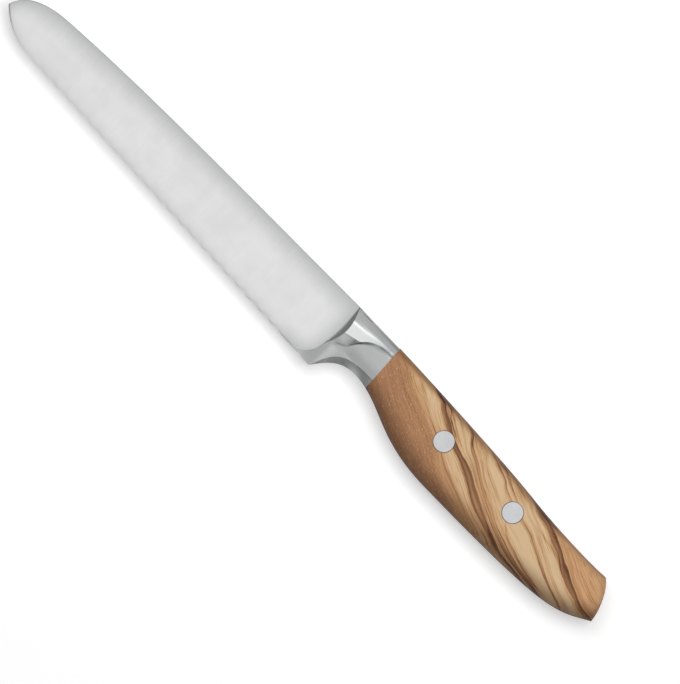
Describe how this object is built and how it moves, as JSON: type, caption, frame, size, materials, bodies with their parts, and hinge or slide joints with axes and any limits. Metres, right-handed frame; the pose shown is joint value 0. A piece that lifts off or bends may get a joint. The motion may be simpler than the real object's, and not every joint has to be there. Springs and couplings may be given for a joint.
{
  "type": "sausage knife",
  "caption": "Sausage knife with a round-nosed blade and wavy edge, a forged half bolster with finger notch, a full tang and riveted wooden scales that swell to a beaked butt.",
  "frame": {"origin": "under the middle of the knife's box, on the surface that it lies on", "axes": "the knife lies on its side: +X runs from the tip to the butt, +Y from the edge to the spine, and +Z out of the side that faces up"},
  "size_m": [0.2536, 0.0236, 0.0185],
  "materials": {
    "blade_steel": "satin-ground blade, polished bolster",
    "handle_wood": "oiled figured olive wood",
    "rivet_steel": "ground flush and polished"
  },
  "bodies": {
    "root": {"forging": "blade_steel", "front_scale": "handle_wood", "back_scale": "handle_wood", "front_rivet_female": "rivet_steel", "front_rivet_male": "rivet_steel", "rear_rivet_female": "rivet_steel", "rear_rivet_male": "rivet_steel"}
  },
  "joints": []
}
